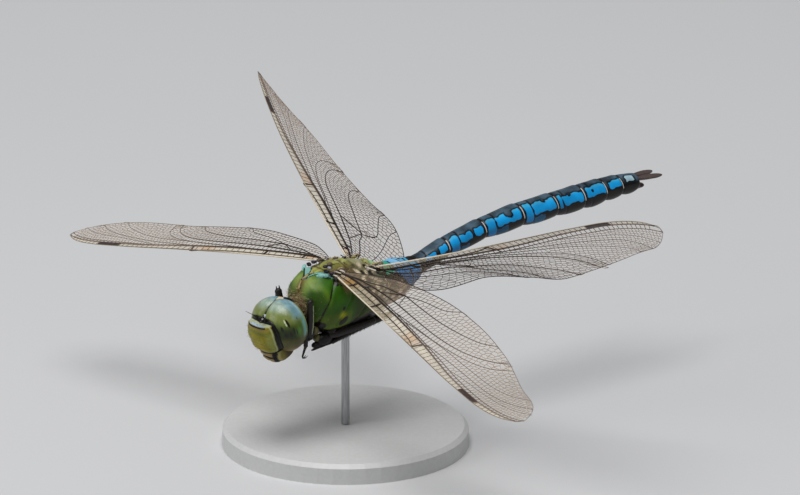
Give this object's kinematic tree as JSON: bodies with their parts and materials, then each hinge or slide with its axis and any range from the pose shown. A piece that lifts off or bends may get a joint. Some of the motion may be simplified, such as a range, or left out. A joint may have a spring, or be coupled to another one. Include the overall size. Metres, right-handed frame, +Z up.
{
  "type": "dragonfly",
  "caption": "Life-size model of a male emperor dragonfly in flight, wings spread mid-beat and legs folded, held by a thin rod on a round flat display base.",
  "frame": {"origin": "centre of the underside of the round base, which stands on the floor", "axes": "+Z up, the head towards -Y and the tail towards +Y, the animal's left towards +X"},
  "size_m": [0.1043, 0.0773, 0.0422],
  "materials": {
    "cuticle_green": "satin",
    "cuticle_blue": "satin",
    "cuticle_dark": "satin",
    "face_yellow": "satin",
    "eye": "gloss",
    "wing": "gloss",
    "stand_base": "satin",
    "stand_rod": "satin"
  },
  "bodies": {
    "root": {"thorax": "cuticle_green", "prothorax": "cuticle_green", "neck": "cuticle_green", "abdomen_1": "cuticle_green", "abdomen_2": "cuticle_blue", "abdomen_3": "cuticle_blue", "abdomen_4": "cuticle_blue", "abdomen_5": "cuticle_blue", "abdomen_6": "cuticle_blue", "abdomen_7": "cuticle_blue", "abdomen_8": "cuticle_blue", "abdomen_9": "cuticle_blue", "abdomen_10": "cuticle_blue", "head": "cuticle_dark", "antenna_left": "cuticle_dark", "antenna_right": "cuticle_dark", "cercus_left": "cuticle_dark", "cercus_right": "cuticle_dark", "epiproct": "cuticle_dark", "leg_fore_left": "cuticle_dark", "leg_fore_right": "cuticle_dark", "leg_mid_left": "cuticle_dark", "leg_mid_right": "cuticle_dark", "leg_hind_left": "cuticle_dark", "leg_hind_right": "cuticle_dark", "face": "face_yellow", "mouthparts": "face_yellow", "eye_left": "eye", "eye_right": "eye", "wing_fore_left": "wing", "wing_fore_right": "wing", "wing_hind_left": "wing", "wing_hind_right": "wing", "stand_base": "stand_base", "stand_rod": "stand_rod"}
  },
  "joints": []
}
